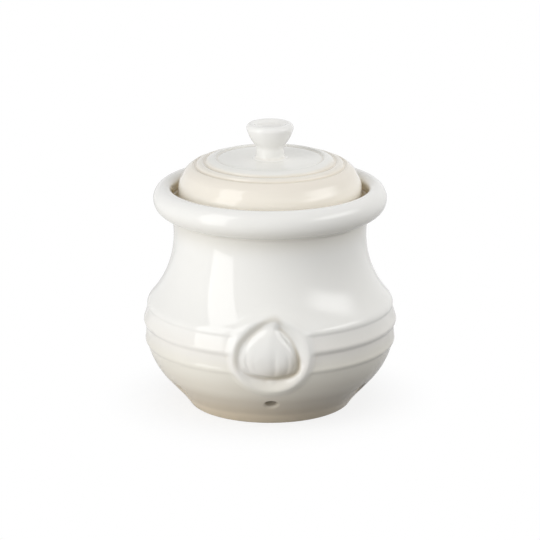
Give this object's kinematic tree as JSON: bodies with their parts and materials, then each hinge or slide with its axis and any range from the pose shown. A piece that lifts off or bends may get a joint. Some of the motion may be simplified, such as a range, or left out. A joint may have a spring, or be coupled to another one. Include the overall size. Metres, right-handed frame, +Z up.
{
  "type": "garlic keeper",
  "caption": "Round-bellied stoneware garlic keeper with a roll rim, air vents near the foot, a garlic medallion and a lift-off knobbed lid.",
  "frame": {"origin": "on the table, at the middle of the foot ring", "axes": "+Z up along the turning axis, -Y out of the medallion's face, +X to the right of someone who looks at the medallion"},
  "size_m": [0.127, 0.1269, 0.1437],
  "materials": {
    "pot_glaze": "gloss glaze that shades from white at the rim to warm beige at the foot",
    "lid_glaze": "gloss glaze, cream on the rings and white on the disc",
    "knob_glaze": "gloss white glaze"
  },
  "bodies": {
    "pot": {"pot": "pot_glaze"},
    "lid": {"lid": "lid_glaze", "knob": "knob_glaze"}
  },
  "joints": [
    {"name": "lid_lift", "type": "slide", "parent": "pot", "child": "lid", "axis": [0, 0, 1], "range_m": [0, 0.1]}
  ]
}
